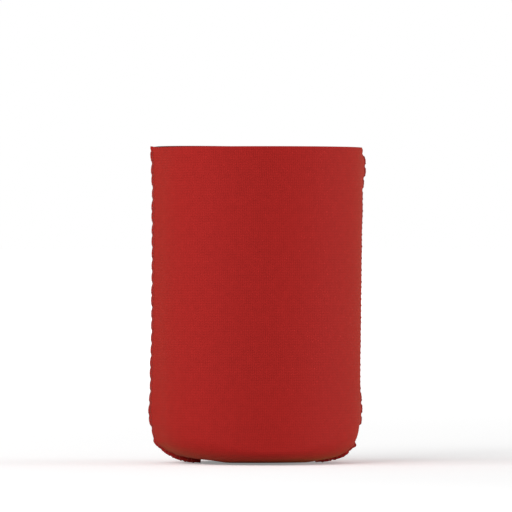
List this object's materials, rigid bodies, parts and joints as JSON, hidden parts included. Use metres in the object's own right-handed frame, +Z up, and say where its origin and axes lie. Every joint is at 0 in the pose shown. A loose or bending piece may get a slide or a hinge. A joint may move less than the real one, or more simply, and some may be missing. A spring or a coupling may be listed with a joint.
{
  "type": "can cooler sleeve",
  "caption": "Soft insulating sleeve for a drink can: a folded foam-backed knit panel sewn up both sides, open at the top.",
  "frame": {"origin": "centre of the base, on the surface the sleeve stands on", "axes": "+Z up out of the open mouth, the sewn sides at -X and +X, the front panel facing -Y"},
  "size_m": [0.075, 0.071, 0.1088],
  "materials": {
    "red_knit": "fine red jersey knit over thin soft foam",
    "red_thread": "red overlock sewing thread"
  },
  "bodies": {
    "root": {"sleeve": "red_knit", "left_seam_thread": "red_thread", "right_seam_thread": "red_thread"}
  },
  "joints": []
}
